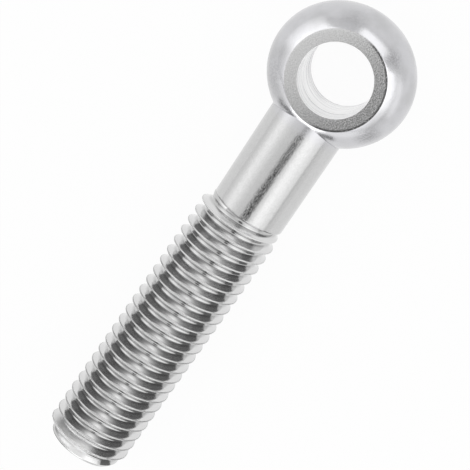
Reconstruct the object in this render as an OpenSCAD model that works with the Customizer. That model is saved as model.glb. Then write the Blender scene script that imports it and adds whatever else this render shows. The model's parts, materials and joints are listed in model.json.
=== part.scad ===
// Swing eye bolt: a rounded eye with two flats and a cross bore, on a shank with a right-hand thread.
// The bore axis is Z, through the origin. The shank runs along +X from the eye to the tip.

/* [Eye] */
// Diameter of the eye, seen along the bore
eye_diameter = 20; // [19.4:0.1:20.6]
// Width over the two flats
eye_width = 11.4; // [11.2:0.1:12]
// Radius of the eye's rounded outside, seen in section
edge_round = 6.6; // [6.3:0.1:7]
// Diameter of the cross bore
bore_diameter = 10; // [9:0.1:11]
// Edge break at each mouth of the bore
bore_break = 0.1; // [0.05:0.05:0.4]

/* [Shank] */
// Diameter of the shank at the eye
shank_diameter = 10.8; // [10.6:0.05:10.9]
// Diameter of the shank where it ends at the thread
shank_end_diameter = 10.6; // [10.5:0.05:10.8]
// Distance from the bore axis to the end of the shank
shank_end = 22.6; // [18:0.1:26]
// Rounding of the shank's end edge
shank_end_round = 0.25; // [0.15:0.01:0.3]

/* [Thread] */
// Outer diameter of the thread
thread_diameter = 12; // [11.7:0.05:12]
// Pitch of the thread
thread_pitch = 1.75; // [1.7:0.05:1.8]
// Distance from the bore axis to the tip
bolt_length = 64.5; // [60:0.5:70]
// Length over which the first crest rises out of the core
run_in = 1.4; // [0.8:0.1:3]
// Diameter of the flat end of the tip
tip_diameter = 9.8; // [9.2:0.1:9.8]
// Length of the bevel at the tip
tip_bevel = 1.6; // [1:0.1:2]
// Places around the bolt at which the thread is worked out
thread_sides = 32; // [24:4:40]

/* [Hidden] */
$fn = 48;
steel = [0.74, 0.74, 0.75];

// The arc of the eye's outside, seen in section, is centred this far from the bore axis.
edge_centre = eye_diameter / 2 - edge_round;

// The shank starts inside the eye, clear of the bore.
shank_start = bore_diameter / 2 + 1;
shank_radius = shank_diameter / 2;
shank_end_radius = shank_end_diameter / 2;

// A metric V thread: each flank leans 30 degrees, and crest and root are narrow flats.
flank_lean = 30;
thread_depth = 0.6134 * thread_pitch;
crest_flat = thread_pitch / 8;
crest_radius = thread_diameter / 2;
root_radius = crest_radius - thread_depth;
half_crest = crest_flat / 2;
half_rib = half_crest + thread_depth * tan(flank_lean);
rib_offsets = [-half_rib, -half_crest, half_crest, half_rib];
rib_points = len(rib_offsets);
tip_radius = tip_diameter / 2;
bevel_slope = (crest_radius - tip_radius) / tip_bevel;
// The core starts inside the shank, so that the two share one solid.
core_start = shank_end - 1;
// A crest passes the +Y side this far from the start of the core.
crest_lead = 0.36;
// The rib is worked out from two turns before that crest, inside the shank, to past the tip.
first_crest = core_start + crest_lead - 2 * thread_pitch;
thread_turns = ceil((bolt_length - first_crest) / thread_pitch) + 1;
last_row = thread_turns * rib_points - 1;

// Distance of a point of the rib along the bolt, before the ends cut it off
function rib_along(row, side) =
    first_crest
    + thread_pitch * (floor(row / rib_points) + side / thread_sides)
    + rib_offsets[row % rib_points];

// How far the crest has risen out of the core
function rise(along) = min(max((along - shank_end) / run_in, 0), 1);

// Radius of a point of the rib, under the bevel at the tip
function rib_radius(row, along) =
    let (
        on_crest = row % rib_points == 1 || row % rib_points == 2,
        free = on_crest ? root_radius + thread_depth * rise(along) : root_radius
    )
    min(free, tip_radius + (bolt_length - along) * bevel_slope);

// One point of the thread's surface
function thread_point(row, side) =
    let (
        along = min(max(rib_along(row, side), core_start), bolt_length),
        radius = rib_radius(row, along),
        angle = 360 * side / thread_sides
    )
    [along, radius * cos(angle), radius * sin(angle)];

// The place of a point in the list: points cut off by an end share that end's rim.
function thread_index(row, side) =
    side == thread_sides ? thread_index(min(row + rib_points, last_row), 0) :
    rib_along(row, side) <= core_start ? side :
    rib_along(row, side) >= bolt_length ? last_row * thread_sides + side :
    row * thread_sides + side;

// Whether a triangle has three different corners
function is_whole(face) = face[0] != face[1] && face[1] != face[2] && face[2] != face[0];

// Half section of the eye: the rounded outside between the two flats
module eye_section() {
    intersection() {
        translate([edge_centre, 0])
            circle(r = edge_round);
        translate([0, -eye_width / 2])
            square([eye_diameter, eye_width]);
    }
}

// The cross bore, with an edge break at each mouth
module bore() {
    cylinder(h = 2 * eye_width, d = bore_diameter, center = true);
    for (end = [1, -1])
        translate([0, 0, end * (eye_width - bore_break) / 2])
            cylinder(
                h = bore_break,
                d1 = bore_diameter + (1 - end) * bore_break,
                d2 = bore_diameter + (1 + end) * bore_break,
                center = true
            );
}

// The eye, turned about the bore axis, with the start of the turn at the crown
module eye() {
    difference() {
        rotate([0, 0, 180])
            rotate_extrude()
                eye_section();
        bore();
    }
}

// Half outline of the shank, with its rounded end edge
module shank_outline() {
    polygon([
        [0, shank_start],
        [shank_radius, shank_start],
        [shank_end_radius, shank_end - shank_end_round],
        [shank_end_radius - shank_end_round, shank_end],
        [0, shank_end]
    ]);
    translate([shank_end_radius - shank_end_round, shank_end - shank_end_round])
        circle(r = shank_end_round);
}

// The shank, turned about X
module shank() {
    rotate([0, 90, 0])
        rotate_extrude()
            shank_outline();
}

// The threaded stem: one right-hand helical rib on its core, bevelled at the tip
module thread() {
    points = [
        for (row = [0:last_row])
            for (side = [0:thread_sides - 1])
                thread_point(row, side)
    ];
    faces = [
        for (row = [0:last_row - 1])
            for (side = [0:thread_sides - 1])
                let (
                    here = thread_index(row, side),
                    round_on = thread_index(row, side + 1),
                    along_on = thread_index(row + 1, side),
                    both_on = thread_index(row + 1, side + 1)
                )
                each [[here, along_on, both_on], [here, both_on, round_on]]
    ];
    start_cap = [for (side = [0:thread_sides - 1]) side];
    tip_cap = [for (side = [thread_sides - 1:-1:0]) last_row * thread_sides + side];
    whole_faces = [for (face = faces) if (is_whole(face)) face];
    polyhedron(points = points, faces = concat([start_cap, tip_cap], whole_faces));
}

module eye_bolt() {
    color(steel) {
        eye();
        shank();
        thread();
    }
}

eye_bolt();
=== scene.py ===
import bpy
import bmesh
import json
from math import acos, ceil, cos, hypot, pi, radians, sin, tau
from mathutils import Matrix, Vector


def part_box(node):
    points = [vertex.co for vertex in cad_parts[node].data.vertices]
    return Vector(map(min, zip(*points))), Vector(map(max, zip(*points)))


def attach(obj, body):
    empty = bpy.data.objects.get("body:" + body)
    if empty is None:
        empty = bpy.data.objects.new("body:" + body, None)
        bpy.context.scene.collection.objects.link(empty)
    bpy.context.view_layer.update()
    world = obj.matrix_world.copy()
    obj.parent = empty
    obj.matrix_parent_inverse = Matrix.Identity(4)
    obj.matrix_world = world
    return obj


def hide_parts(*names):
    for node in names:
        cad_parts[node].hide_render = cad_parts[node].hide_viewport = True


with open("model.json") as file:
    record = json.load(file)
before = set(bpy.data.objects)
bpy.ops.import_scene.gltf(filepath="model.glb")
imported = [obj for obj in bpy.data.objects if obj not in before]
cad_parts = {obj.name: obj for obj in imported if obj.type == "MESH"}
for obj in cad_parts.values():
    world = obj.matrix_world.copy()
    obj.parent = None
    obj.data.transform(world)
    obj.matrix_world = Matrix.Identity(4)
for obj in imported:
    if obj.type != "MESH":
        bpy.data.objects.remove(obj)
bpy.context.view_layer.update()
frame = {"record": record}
mm = 0.001
boltLow, boltHigh = (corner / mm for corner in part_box("eye_bolt"))
mounts = {mount["name"]: mount for mount in frame["record"]["mounts"]}
print("frame loaded, bolt from", tuple(boltLow), "to", tuple(boltHigh), "mm")


# all sizes of the bolt in mm
eye = dict(
    halfAcross=boltHigh.y + 0.08,  # the outline is a little wider across
    crown=9.64,  # and a little shorter along the shank
    halfWidth=mounts["eye_face_top"]["pos_m"][2] / mm,  # bore centre to a flat
    flatRim=6.73,
    boreRadius=mounts["eye_bore"]["dims"]["r_mm"],
    boreHalf=mounts["eye_bore"]["dims"]["length_mm"] / 2,
    rimFall=(0.32, 0.03),  # the flat's outer strip falls away: width, drop
    fallSteps=[(0.75, 0.2), (0.08, 0.92)],  # share of that width still to go, share of the drop
    turnSteps=220, boreSteps=8, edgeSteps=4, flatSteps=4, sideSteps=26,
    sideStart=0.08,  # the rounded side starts this share of a step past the rim
)

shank = dict(
    start=6.0,  # inside the eye
    radius=5.4, endRadius=5.3, end=22.6, endRound=0.25,
    sway=0.29, swayFrom=9.0,  # the far end sits this far to the +Y side, leaning from here on
    columns=180, arcSteps=5, runSteps=24,
)

threadPitch = 1.75
thread = dict(
    crestRadius=6.0, pitch=threadPitch, depth=0.6134 * threadPitch,  # a metric V thread
    crestAt=21.84,  # a crest on the +Y side lies here
    runIn=1.4,  # the first crest rises over this length
    tip=boltHigh.x, tipRadius=4.9, bevel=1.6, tipRound=0.1,
    tipEdge=[(0.3, 0.0), (0.0, 0.6)],  # its rounded edge: shares of tipRound short of the tip and inwards
    faceRings=(0.66, 0.33),  # of the end face, as shares of tipRadius
    # one turn of the rib: share of the pitch from the crest's middle, share of the depth
    halfRib=[(0.01, 1.0), (0.027, 0.99), (0.045, 0.965), (0.06, 0.925),
             (0.374, 0.005), (0.396, -0.04), (0.432, -0.06)],
    flankArea=0.1,  # mm2, the faces of the flanks are larger and the others smaller
    sharpFrom=0.1,  # the flanks have sharp borders from this far past the shank
)
thread["rootRadius"] = thread["crestRadius"] - thread["depth"]


def corner(start, bend, end, steps):
    # points after start on a soft curve round a bend
    points = []
    for step in range(1, steps + 1):
        s = step / steps
        points.append(tuple((1 - s) ** 2 * a + 2 * s * (1 - s) * b + s * s * c
                            for a, b, c in zip(start, bend, end)))
    return points


def eyeLoop(turn):
    # closed section of the eye in the half plane at this angle round the bore
    wide, rim = eye["halfWidth"], eye["flatRim"]
    bore, wall = eye["boreRadius"], eye["boreHalf"]
    reach = 1 / hypot(cos(turn) / eye["crown"], sin(turn) / eye["halfAcross"])
    # the rounded side is one arc from the flat's rim to the outline
    strip, drop = eye["rimFall"]
    edge = wide - drop
    side = (edge ** 2 + (reach - rim) ** 2) / (2 * (reach - rim))
    rimAngle = acos(edge / side)
    half = [(bore, wall * step / eye["boreSteps"]) for step in range(eye["boreSteps"] + 1)]
    half += corner(half[-1], (bore, wide), (bore + wide - wall, wide), eye["edgeSteps"])
    inner, outer = half[-1][0], rim - strip
    half += [(inner + (outer - inner) * step / eye["flatSteps"], wide)
             for step in range(1, eye["flatSteps"] + 1)]
    half += [(rim - strip * short, wide - drop * down) for short, down in eye["fallSteps"]]
    for step in range(eye["sideSteps"] + 1):
        share = (step + eye["sideStart"]) / (eye["sideSteps"] + eye["sideStart"])
        angle = rimAngle + (pi / 2 - rimAngle) * share
        half.append((reach - side + side * sin(angle), side * cos(angle)))
    return half + [(out, -up) for out, up in reversed(half[1:-1])]


def joinRings(bm, first, second):
    for here in range(len(first)):
        on = (here + 1) % len(first)
        bm.faces.new((first[here], first[on], second[on], second[here]))


def makeEye(bm):
    rings = []
    for step in range(eye["turnSteps"]):
        turn = tau * (step + 0.5) / eye["turnSteps"]
        rings.append([bm.verts.new((out * cos(turn), out * sin(turn), up)) for out, up in eyeLoop(turn)])
    for step in range(len(rings)):
        joinRings(bm, rings[step], rings[(step + 1) % len(rings)])


def shankStations():
    # (along, radius) from inside the eye to the thread's core
    roundOff = shank["endRound"]
    startAlong, endAlong = shank["start"], shank["end"] - roundOff
    stations = []
    for step in range(shank["runSteps"] + 1):
        s = step / shank["runSteps"]
        stations.append((startAlong + (endAlong - startAlong) * s,
                         shank["radius"] + (shank["endRadius"] - shank["radius"]) * s))
    for step in range(1, shank["arcSteps"] + 1):
        angle = pi / 2 * step / shank["arcSteps"]
        stations.append((endAlong + roundOff * sin(angle),
                         shank["endRadius"] - roundOff * (1 - cos(angle))))
    stations.append((shank["end"], thread["rootRadius"]))
    return stations


def ringAt(bm, along, radius, angles, aside=0.0):
    return [bm.verts.new((along, aside + radius * cos(angle), radius * sin(angle))) for angle in angles]


def capRing(bm, ring, along):
    middle = bm.verts.new((along, 0, 0))
    for here in range(len(ring)):
        bm.faces.new((ring[here], ring[(here + 1) % len(ring)], middle))


def makeShank(bm, angles):
    last = None
    stations = shankStations()
    for along, radius in stations:
        reach = min(max((along - shank["swayFrom"]) / (shank["end"] - shank["swayFrom"]), 0), 1)
        onCore = (along, radius) == stations[-1]
        aside = 0.0 if onCore else shank["sway"] * reach
        ring = ringAt(bm, along, radius, angles, aside)
        if last:
            joinRings(bm, last, ring)
        else:
            capRing(bm, ring, along)
        last = ring
    return last


def makeThread(bm, start, angles):
    # one helical rib wound from the shank's end to the tip
    pitch, depth, root = thread["pitch"], thread["depth"], thread["rootRadius"]
    slope = (thread["crestRadius"] - thread["tipRadius"]) / thread["bevel"]
    startAlong, endAlong = shank["end"], thread["tip"] - thread["tipRound"]
    rib = [(-share, high) for share, high in reversed(thread["halfRib"])] + thread["halfRib"]
    firstCrest = thread["crestAt"] - 2 * pitch  # two turns early, inside the shank
    turns = ceil((endAlong - firstCrest) / pitch) + 2
    endRadius = thread["tipRadius"] + thread["tipRound"] * slope
    end = ringAt(bm, endAlong, endRadius, angles)
    made = {}

    def vertAt(row, column):
        if column == len(angles):
            row, column = row + len(rib), 0
        share, high = rib[row % len(rib)]
        along = firstCrest + pitch * (row // len(rib) + angles[column] / tau + share)
        if along <= startAlong:
            return start[column]
        if along >= endAlong:
            return end[column]
        if (row, column) not in made:
            rise = min((along - startAlong) / thread["runIn"], 1)
            radius = min(root + depth * high * rise, thread["tipRadius"] + (thread["tip"] - along) * slope)
            made[row, column] = bm.verts.new(
                (along, radius * cos(angles[column]), radius * sin(angles[column])))
        return made[row, column]

    for row in range(turns * len(rib)):
        for column in range(len(angles)):
            patch = [vertAt(row, column), vertAt(row, column + 1),
                     vertAt(row + 1, column + 1), vertAt(row + 1, column)]
            patch = list(dict.fromkeys(patch))
            if len(patch) > 2:
                bm.faces.new(patch)
    return end


def makeTip(bm, last, angles):
    # softened edge, then the faced end
    tip, full, soft = thread["tip"], thread["tipRadius"], thread["tipRound"]
    stations = [(tip - soft * short, full - soft * inward) for short, inward in thread["tipEdge"]]
    stations += [(tip, full * share) for share in thread["faceRings"]]
    for along, radius in stations:
        ring = ringAt(bm, along, radius, angles)
        joinRings(bm, last, ring)
        last = ring
    capRing(bm, last, tip)


def asPiece(bm, name):
    bmesh.ops.recalc_face_normals(bm, faces=bm.faces[:])
    mesh = bpy.data.meshes.new(name)
    bm.to_mesh(mesh)
    bm.free()
    piece = bpy.data.objects.new(name, mesh)
    bpy.context.collection.objects.link(piece)
    return piece


def makeBolt():
    bm = bmesh.new()
    makeEye(bm)
    ring = asPiece(bm, "swing_eye_bolt")
    bm = bmesh.new()
    angles = [tau * step / shank["columns"] for step in range(shank["columns"])]
    last = makeThread(bm, makeShank(bm, angles), angles)
    makeTip(bm, last, angles)
    stem = asPiece(bm, "stem")
    # the seam of the two and the borders of the flanks are kept as sharp edges
    for place, piece in enumerate((ring, stem)):
        piece.data.attributes.new("part", "INT", "FACE").data.foreach_set(
            "value", [place] * len(piece.data.polygons))
    join = ring.modifiers.new("join", "BOOLEAN")
    join.operation, join.solver, join.object = "UNION", "EXACT", stem
    whole = bpy.data.meshes.new_from_object(ring.evaluated_get(bpy.context.evaluated_depsgraph_get()))
    ring.modifiers.clear()
    ring.data = whole
    bpy.data.objects.remove(stem)
    bm = bmesh.new()
    bm.from_mesh(whole)
    part = bm.faces.layers.int["part"]
    sharp = 0
    for edge in bm.edges:
        onThread = min(vert.co.x for vert in edge.verts) > shank["end"] + thread["sharpFrom"]
        flanks = {face.calc_area() > thread["flankArea"] for face in edge.link_faces}
        if len({face[part] for face in edge.link_faces}) > 1 or onThread and len(flanks) > 1:
            edge.smooth = False
            sharp += 1
    bm.faces.layers.int.remove(part)
    for face in bm.faces:
        face.smooth = True
    bmesh.ops.scale(bm, vec=(mm, mm, mm), verts=bm.verts[:])
    bm.to_mesh(whole)
    print("bolt mesh:", len(bm.verts), "points,", len(bm.calc_loop_triangles()), "triangles,",
          sum(not edge.is_manifold for edge in bm.edges), "open edges,", sharp, "sharp edges")
    bm.free()
    return ring


class Sock:
    # one output socket, so that shader maths reads as plain expressions
    def __init__(self, recipe, out):
        self.recipe, self.out = recipe, out

    def __add__(self, other):
        return self.recipe.maths("ADD", self, other)

    def __sub__(self, other):
        return self.recipe.maths("SUBTRACT", self, other)

    def __rsub__(self, other):
        return self.recipe.maths("SUBTRACT", other, self)

    def __mul__(self, other):
        return self.recipe.maths("MULTIPLY", self, other)

    def __pow__(self, other):
        return self.recipe.maths("POWER", self, other)

    def __abs__(self):
        return self.recipe.maths("ABSOLUTE", self)

    __radd__, __rmul__ = __add__, __mul__


class Recipe:
    # a material's or the world's nodes
    def __init__(self, tree):
        self.tree = tree
        tree.nodes.clear()

    def node(self, kind, settings=None, sockets=None, output=0):
        made = self.tree.nodes.new(kind)
        for key, value in (settings or {}).items():
            if key == "stops":
                self.setStops(made.color_ramp.elements, value)
            else:
                setattr(made, key, value)
        for key, value in (sockets or {}).items():
            if isinstance(value, Sock):
                self.tree.links.new(value.out, made.inputs[key])
            else:
                made.inputs[key].default_value = value
        return Sock(self, made.outputs[output]) if made.outputs else made

    def setStops(self, ramp, stops):
        # greys along a ramp
        while len(ramp) < len(stops):
            ramp.new(1.0)
        for element, (share, level) in zip(ramp, stops):
            element.position, element.color = share, (level, level, level, 1)

    def maths(self, operation, *values):
        return self.node("ShaderNodeMath", dict(operation=operation), dict(enumerate(values)))

    def place(self, stretch=(1, 1, 1)):
        # object position in mm, stretched
        spot = self.node("ShaderNodeTexCoord", output="Object")
        return self.node("ShaderNodeVectorMath", dict(operation="MULTIPLY"),
                         {0: spot, 1: [share / mm for share in stretch]})

    def axis(self, vector, name):
        return self.node("ShaderNodeSeparateXYZ", None, {0: vector}, name)

    def fade(self, value, start, end):
        return self.node("ShaderNodeMapRange", dict(interpolation_type="SMOOTHSTEP"),
                         {"Value": value, "From Min": start, "From Max": end})

    def fadeFrom(self, value, edge, reach):
        # fades in between two distances from an edge
        return self.fade(value, edge + reach[0], edge + reach[1])

    def noise(self, scale, detail, rough, stretch=(1, 1, 1)):
        return self.node("ShaderNodeTexNoise", None, {
            "Vector": self.place(stretch), "Scale": scale, "Detail": detail, "Roughness": rough})

    def blend(self, share, low, high):
        low, high = (colour if isinstance(colour, Sock) else (*colour, 1) for colour in (low, high))
        return self.node("ShaderNodeMix", dict(data_type="RGBA"), {0: share, 6: low, 7: high}, 2)

    def bump(self, height, depth, normal=None):
        sockets = {"Height": height, "Distance": depth * mm, "Strength": 1.0}
        if normal:
            sockets["Normal"] = normal
        return self.node("ShaderNodeBump", None, sockets)


finish = dict(
    ball=(0.60, 0.60, 0.618), dull=(0.54, 0.54, 0.552),  # plated skin of the eye
    flat=(0.62, 0.62, 0.62), flatDark=(0.16, 0.16, 0.16),  # ground flats; the dark one also paints shade towards +Y
    bore=(0.97, 0.97, 0.97), boreLine=(0.38, 0.38, 0.4),
    shank=(0.63, 0.63, 0.63), shankDull=(0.56, 0.56, 0.56),
    root=(0.54, 0.54, 0.54), flank=(0.7, 0.7, 0.7), crest=(0.66, 0.66, 0.66),  # of the thread; the darker roots are painted shade
    # the tip's light colour is a painted highlight; the dark colour paints shade, a reflection and dark
    # marks
    tip=(0.8, 0.8, 0.8), dirt=(0.08, 0.08, 0.08),
    ballRough=0.16, flatRough=0.34, boreRough=0.3, shankRough=0.1,
    threadRough=0.1, crestRough=0.5, tipRough=0.42,
    mottleRough=0.06, grainRough=0.1,  # added with the mottle, and with the grain of the flats
    # where a finish or painted shade fades in, in mm from its edge
    flatFade=(-0.06, -0.03), boreFade=(0.01, 0.06), rimFade=(-0.34, -0.16), shankFade=(-2.2, -0.4),
    threadFade=(-0.1, 0.3), flankFade=(0.05, 0.45), crestFade=(-0.14, -0.07), edgeFade=(-0.22, -0.14),
    # where a finish, painted shade or painted highlight fades in or out from -Y to +Y, in mm
    rimSide=(0.2, 1.8), edgeSide=(-2.5, 2.0), tipSide=(0.4, 2.6), coarseSide=(-6.5, 6.5),
    coarseWay=(0.2, 0.98),  # the flats get coarser in this direction, and darker as painted shade
    tipFrom=(61.35, 61.7), tipLean=0.07,  # the matt end, lighter as a painted highlight, starts here and leans with the thread
    # dark speckled marks on the eye: place and reach in mm, depth of the mark; the one at (6.9, -4.2, 4.7)
    # is painted shade in the crease by the shank
    marks=[((3.8, 7.6, 4.1), 2.6, 0.5), ((-6.6, 4.5, 4.7), 2.2, 0.4), ((-7.9, -2.7, 4.3), 2.8, 0.25),
           ((6.9, -4.2, 4.7), 1.3, 0.8), ((-5.2, 6.6, 4.2), 1.6, 0.25), ((4.6, -7.2, 3.4), 5.0, 0.3)],
    streak=(0.45, 0.1, 0.85),  # painted reflection of the tent's dark gap, a speckled line along the top of the shank: middle, inner and outer reach
    # noise: scale to the mm, detail, roughness, stretch
    mottle=(0.3, 3.0, 0.5), grain=(6.5, 2.0, 0.6), specks=(4.4, 2.0, 0.6), pits=(1.6, 4.0, 0.65),
    scores=(6.5, 3.0, 0.75, (0.2, 1.5, 1.5)), rings=(1.0, 3.0, 0.6, (0.05, 0.05, 5.0)),
    # the levels of noise between which a colour comes in
    dullLevels=(0.4, 0.7), markLevels=(0.4, 0.6), rimLevels=(0.3, 0.5), lineLevels=(0.52, 0.62),
    grainLevels=(0.3, 0.7), pitLevels=(0.35, 0.65), gritLevels=(0.42, 0.54), scoreLevels=(0.33, 0.55),
    markLeast=0.5, gritLeast=0.45,  # the least share of a mark and of the speckle in the painted reflection that shows
    pitShare=0.3, edgeDirt=0.9,  # the pits' part in the dull shank, darkening of the tip's edge
    flatShare=(0.24, 0.5), flatGrain=(1.1, 2.0),  # dark share and grain of the flats, and more towards +Y, where the added dark share is painted shade
    # depth of relief in mm; share of the grain that shows, and how much more on the flats
    grainDepth=0.012, scoreDepth=0.02, pitDepth=0.012, ringDepth=0.12, grainShare=(0.5, 0.9),
)


def boltSteel():
    material = bpy.data.materials.new("bright plated steel")
    material.use_nodes = True
    steel = Recipe(material.node_tree)
    spot = steel.place()
    x, y, z = (steel.axis(spot, name) for name in "XYZ")
    fromBore = (x * x + y * y) ** 0.5
    fromShank = (y * y + z * z) ** 0.5
    onFlat = steel.fadeFrom(abs(z), eye["halfWidth"], finish["flatFade"])
    rimShade = steel.fadeFrom(fromBore, eye["flatRim"], finish["rimFade"]) * steel.fade(y, *finish["rimSide"])
    inBore = 1 - steel.fadeFrom(fromBore, eye["boreRadius"], finish["boreFade"])
    onShank = steel.fadeFrom(x, eye["crown"], finish["shankFade"])
    onThread = steel.fadeFrom(x, shank["end"], finish["threadFade"])
    onFlank = steel.fadeFrom(fromShank, thread["rootRadius"], finish["flankFade"])
    onCrest = steel.fadeFrom(fromShank, thread["crestRadius"], finish["crestFade"])
    # painted highlight: the matt end of the thread, lighter towards -Y
    tipMattAndHighlight = steel.fade(x + y * finish["tipLean"], *finish["tipFrom"])
    tipMattAndHighlight = tipMattAndHighlight * (1 - steel.fade(y, *finish["tipSide"]))
    onEdge = steel.fadeFrom(x, thread["tip"], finish["edgeFade"])
    onEdge = onEdge * (1 - steel.fade(y, *finish["edgeSide"]))
    # painted reflection: the band along the top of the shank where the tent's dark gap is mirrored
    middle, inner, outer = finish["streak"]
    streak = onShank * (1 - onThread) * (1 - steel.fade(abs(y - middle), inner, outer))
    mottle, grain, specks, pits, scores, rings = (
        steel.noise(*finish[name]) for name in ("mottle", "grain", "specks", "pits", "scores", "rings"))

    # the eye: mottled skin with dark speckled marks; the one by the shank is painted shade in the crease
    colour = steel.blend(steel.fade(mottle, *finish["dullLevels"]), finish["ball"], finish["dull"])
    least = finish["markLeast"]
    speckled = least + (1 - least) * steel.fade(specks, *finish["markLevels"])
    for place, reach, depth in finish["marks"]:
        away = steel.node("ShaderNodeVectorMath", dict(operation="DISTANCE"), {0: spot, 1: place}, "Value")
        mark = (1 - steel.fade(away, 0, reach)) * speckled * depth
        colour = steel.blend(mark, colour, finish["dirt"])
    # the ground flat is bright towards -Y and coarse towards +Y, with painted shade darkening it towards +Y
    along, across = finish["coarseWay"]
    coarseAndShaded = steel.fade(x * along + y * across, *finish["coarseSide"])
    (fine, more), (grainFine, grainMore) = finish["flatShare"], finish["flatGrain"]
    dark = fine + more * coarseAndShaded + (grain - 0.5) * (grainFine + grainMore * coarseAndShaded)
    ground = steel.blend(dark, finish["flat"], finish["flatDark"])
    # painted shade: a dark speckled line along the flat's outer rim towards +Y
    ground = steel.blend(rimShade * steel.fade(specks, *finish["rimLevels"]), ground, finish["dirt"])
    colour = steel.blend(onFlat, colour, ground)
    # the bore: fine turned lines
    wall = steel.blend(steel.fade(rings, *finish["lineLevels"]), finish["bore"], finish["boreLine"])
    colour = steel.blend(inBore, colour, wall)
    # the shank: fine grain, and a painted reflection of the tent's dark gap as fine dark speckled lines
    # along its top
    pitted = finish["pitShare"]
    worn = (1 - pitted) * steel.fade(grain, *finish["grainLevels"])
    worn = worn + pitted * steel.fade(pits, *finish["pitLevels"])
    drawn = steel.blend(worn, finish["shank"], finish["shankDull"])
    least = finish["gritLeast"]
    reflectionGrain = least + (1 - least) * steel.fade(grain, *finish["gritLevels"])
    drawn = steel.blend(streak * steel.fade(scores, *finish["scoreLevels"]) * reflectionGrain, drawn, finish["dirt"])
    colour = steel.blend(onShank, colour, drawn)
    # the thread: darker roots as painted shade, a matt end lighter towards -Y as a painted highlight, and
    # its edge darker towards -Y
    rolled = steel.blend(onFlank, finish["root"], finish["flank"])
    rolled = steel.blend(onCrest, rolled, finish["crest"])
    colour = steel.blend(onThread, colour, rolled)
    colour = steel.blend(tipMattAndHighlight, colour, finish["tip"])
    colour = steel.blend(onEdge * finish["edgeDirt"], colour, finish["dirt"])

    rough = finish["ballRough"] + finish["mottleRough"] * mottle
    rough = rough + onFlat * (finish["flatRough"] - finish["ballRough"] + finish["grainRough"] * grain)
    rough = rough + inBore * (finish["boreRough"] - finish["ballRough"])
    rough = rough + onShank * (finish["shankRough"] - finish["ballRough"])
    rough = rough + onThread * (finish["threadRough"] - finish["shankRough"])
    rough = rough + onThread * onCrest * (finish["crestRough"] - finish["threadRough"])
    rough = rough + tipMattAndHighlight * (finish["tipRough"] - finish["threadRough"])

    least, more = finish["grainShare"]
    relief = steel.bump(grain * (least + onFlat * more), finish["grainDepth"])
    relief = steel.bump(scores * streak, finish["scoreDepth"], relief)
    relief = steel.bump(pits * (1 - onThread), finish["pitDepth"], relief)
    relief = steel.bump(rings * inBore, finish["ringDepth"], relief)
    shader = steel.node("ShaderNodeBsdfPrincipled", None, {
        "Base Color": colour, "Metallic": 1.0, "Roughness": rough, "Normal": relief})
    steel.node("ShaderNodeOutputMaterial", None, {"Surface": shader})
    return material


bolt = makeBolt()
bolt.data.materials.append(boltSteel())
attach(bolt, "root")
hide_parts("eye_bolt")
print("bolt in place")


studio = dict(
    floorSize=3.0, floorColour=(0.9, 0.9, 0.9), shadowShare=0.05, worldGrey=0.86,
)

# a light tent arched over the bolt, sizes in m; the levels give its brightness by angle round the
# shank, in degrees from straight up towards +Y
tent = dict(
    radius=0.1, back=-0.073, front=(0.096, 0.028, 52, 90),  # its front edge draws back at the sides
    levels=[(-100, 0.86), (-86, 0.9), (-73, 1.08), (-62, 1.32), (-52, 1.32), (-40, 1.12), (-27, 0.93),
            (-9, 0.84), (9, 0.8), (16, 0.9), (25, 1.2), (33, 1.5), (43, 1.5), (62, 1.22), (72, 1.15),
            (74, 0.72), (78, 0.72), (80, 0.9), (95, 0.9)],
    boost=0.4, boostAt=(0.028, 0.007),  # brighter towards the eye
    # dark gap along the top: middle, outer and inner reach in degrees; where it starts and gets weaker
    slit=(8.5, 7.5, 5.5), slitAt=(0.0295, 0.034), slitDepth=0.92, slitLess=(0.0475, 0.054, 0.07),
    peak=1.5,
)

# a wide outer tent, darker where the flanks of the thread mirror it and bright beyond
outerTent = dict(
    radius=0.3, ends=(0.1, 1.0), far=(0.365, 0.16, 40, 95),  # its bright part starts nearer at the sides
    levels=[(-92, 0.12), (-70, 0.12), (-58, 0.17), (-46, 0.23), (-35, 0.32), (-25, 0.46), (-14, 0.82),
            (-4, 1.45), (8, 1.8), (16, 1.65), (24, 1.2), (32, 0.82), (41, 0.55), (50, 0.34), (60, 0.19),
            (80, 0.11), (92, 0.11)],
    beyond=1.2, soft=0.01,  # level of the bright part and how soft its border is
    peak=1.8,
)
lopside = 4  # degrees by which the edges of both tents lean
archStep = 3  # degrees, about the width of a facet of the tents and cards

# two dark cards close beside the thread, low enough that the eye doesn't mirror them
sideCards = dict(
    leftCard=dict(radius=0.013, ends=(0.0275, 0.0665), levels=[(-104, 0.22), (-70, 0.22)], peak=1.0),
    rightCard=dict(radius=0.013, ends=(0.0275, 0.0665), levels=[(70, 0.18), (104, 0.18)], peak=1.0),
)

# flat lamps: middle in m, width and height, brightness
lamps = dict(
    behindEye=dict(place=(-0.36, 0.06, 0.17), size=(0.3, 0.22), glow=0.75),
    beyondTip=dict(place=(0.5, -0.02, 0.09), size=(0.3, 0.16), glow=1.6),
)


def addPlate(name, corners, rows):
    # a sheet from a grid of points
    mesh = bpy.data.meshes.new(name)
    faces = [(at, at + 1, at + rows + 1, at + rows) for column in range(len(corners) // rows - 1)
             for at in range(column * rows, column * rows + rows - 1)]
    mesh.from_pydata(corners, [], faces)
    plate = bpy.data.objects.new(name, mesh)
    bpy.context.collection.objects.link(plate)
    return plate


def fadeAt(value, start, end):
    share = min(max((value - start) / (end - start), 0), 1)
    return share * share * (3 - 2 * share)


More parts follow.
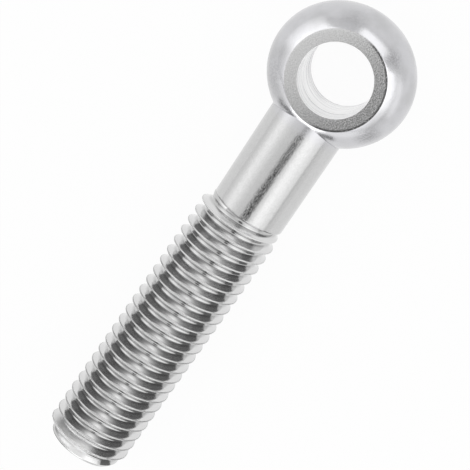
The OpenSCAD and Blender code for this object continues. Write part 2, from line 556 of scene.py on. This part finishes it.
def tentCloth(name, levels, peak, shade):
    # a glowing sheet: levels by angle round the shank, then shaded by place
    material = bpy.data.materials.new(name)
    material.use_nodes = True
    cloth = Recipe(material.node_tree)
    spot = cloth.place((mm, mm, mm))
    x, y, z = (cloth.axis(spot, axis) for axis in "XYZ")
    turn = cloth.maths("ARCTAN2", y, z) * (180 / pi)
    first, last = levels[0][0], levels[-1][0]
    stops = [((angle - first) / (last - first), level / peak) for angle, level in levels]
    level = cloth.node("ShaderNodeValToRGB", dict(stops=stops), {0: (turn - first) * (1 / (last - first))})
    glow = {"Color": shade(cloth, x, turn, level), "Strength": peak}
    shine = cloth.node("ShaderNodeEmission", None, glow)
    cloth.node("ShaderNodeOutputMaterial", None, {"Surface": shine})
    return material


def tentShade(cloth, x, turn, level):
    middle, outer, inner = tent["slit"]
    lessFrom, lessTo, less = tent["slitLess"]
    depth = cloth.fade(x, *tent["slitAt"]) * (tent["slitDepth"] - less * cloth.fade(x, lessFrom, lessTo))
    slit = cloth.fade(abs(turn - middle), outer, inner) * depth
    return level * (1 + tent["boost"] * cloth.fade(x, *tent["boostAt"])) * (1 - slit)


def outerShade(cloth, x, turn, level):
    at, back, low, high = outerTent["far"]
    edge = at - back * cloth.fade(abs(turn + lopside), low, high)
    beyond = cloth.fade(x - edge, -outerTent["soft"], outerTent["soft"])
    return level * (1 - beyond) + outerTent["beyond"] / outerTent["peak"] * beyond


def plainShade(cloth, x, turn, level):
    return level


def tentEnds(turn):
    at, back, low, high = tent["front"]
    return tent["back"], at - back * fadeAt(abs(turn + lopside), low, high)


def addArch(name, spec, shade, ends=None):
    # a sheet bent round the bolt's axis that only mirrors see; ends gives its reach along X by angle
    first, last = spec["levels"][0][0], spec["levels"][-1][0]
    steps = round((last - first) / archStep)
    corners = []
    for step in range(steps + 1):
        turn = first + (last - first) * step / steps
        out, up = sin(radians(turn)), cos(radians(turn))
        reach = ends(turn) if ends else spec["ends"]
        corners += [(end, spec["radius"] * out, spec["radius"] * up) for end in reach]
    sheet = addPlate(name, corners, 2)
    sheet.data.materials.append(tentCloth(name, spec["levels"], spec["peak"], shade))
    sheet.visible_camera = sheet.visible_diffuse = sheet.visible_shadow = False


def addLamp(name, spec):
    lamp = bpy.data.lights.new(name, "AREA")
    lamp.shape = "RECTANGLE"
    lamp.size, lamp.size_y = spec["size"]
    lamp.energy = spec["glow"] * pi * lamp.size * lamp.size_y
    thing = bpy.data.objects.new(name, lamp)
    thing.rotation_euler = Vector(spec["place"]).to_track_quat("Z", "Y").to_euler()
    thing.location = spec["place"]
    thing.visible_camera = False
    bpy.context.collection.objects.link(thing)


def floorWhite():
    material = bpy.data.materials.new("floor white")
    material.use_nodes = True
    paper = Recipe(material.node_tree)
    rays = [paper.node("ShaderNodeLightPath", output=name)
            for name in ("Is Camera Ray", "Is Glossy Ray", "Is Transmission Ray")]
    seen = paper.maths("MAXIMUM", rays[0], paper.maths("MAXIMUM", rays[1], rays[2]))
    matt = paper.node("ShaderNodeBsdfDiffuse", None, {"Color": (*studio["floorColour"], 1)})
    white = paper.node("ShaderNodeEmission", None, {"Color": (1, 1, 1, 1), "Strength": 1.0})
    both = paper.node("ShaderNodeMixShader", None,
                      {0: seen * (1 - studio["shadowShare"]), 1: matt, 2: white})
    paper.node("ShaderNodeOutputMaterial", None, {"Surface": both})
    return material


# the bolt rests on its crests
half, low = studio["floorSize"] / 2, -thread["crestRadius"] * mm
floorCorners = [(-half, -half, low), (half, -half, low), (-half, half, low), (half, half, low)]
floorPlate = addPlate("floor", floorCorners, 2)
floorPlate.data.materials.append(floorWhite())
addArch("tent", tent, tentShade, tentEnds)
addArch("outerTent", outerTent, outerShade)
for cardName, card in sideCards.items():
    addArch(cardName, card, plainShade)
for lampName, lampSpec in lamps.items():
    addLamp(lampName, lampSpec)

world = bpy.data.worlds.new("soft room")
bpy.context.scene.world = world
world.use_nodes = True
room = Recipe(world.node_tree)
glow = room.node("ShaderNodeBackground", None, {"Color": (1, 1, 1, 1), "Strength": studio["worldGrey"]})
room.node("ShaderNodeOutputWorld", None, {"Surface": glow})
print("floor, tents, cards, lamps and world in place")


view = dict(
    place=(-48.73, 10.29, 248.97), aim=(26.43, 0.64, 0.0), up=(-0.783, -0.5841, -0.2137),  # mm
    angle=13.947,  # degrees over the square picture
    clip=(0.01, 20),  # m
)


def addCamera():
    lens = bpy.data.cameras.new("camera")
    lens.sensor_fit = "HORIZONTAL"
    lens.angle = radians(view["angle"])
    lens.clip_start, lens.clip_end = view["clip"]
    camera = bpy.data.objects.new("camera", lens)
    back = (Vector(view["place"]) - Vector(view["aim"])).normalized()
    right = Vector(view["up"]).cross(back).normalized()
    turn = Matrix((right, back.cross(right), back)).transposed().to_4x4()
    camera.matrix_world = Matrix.Translation(Vector(view["place"]) * mm) @ turn
    bpy.context.collection.objects.link(camera)
    bpy.context.scene.camera = camera


addCamera()
bpy.context.scene.view_settings.view_transform = "Standard"
print("camera in place")
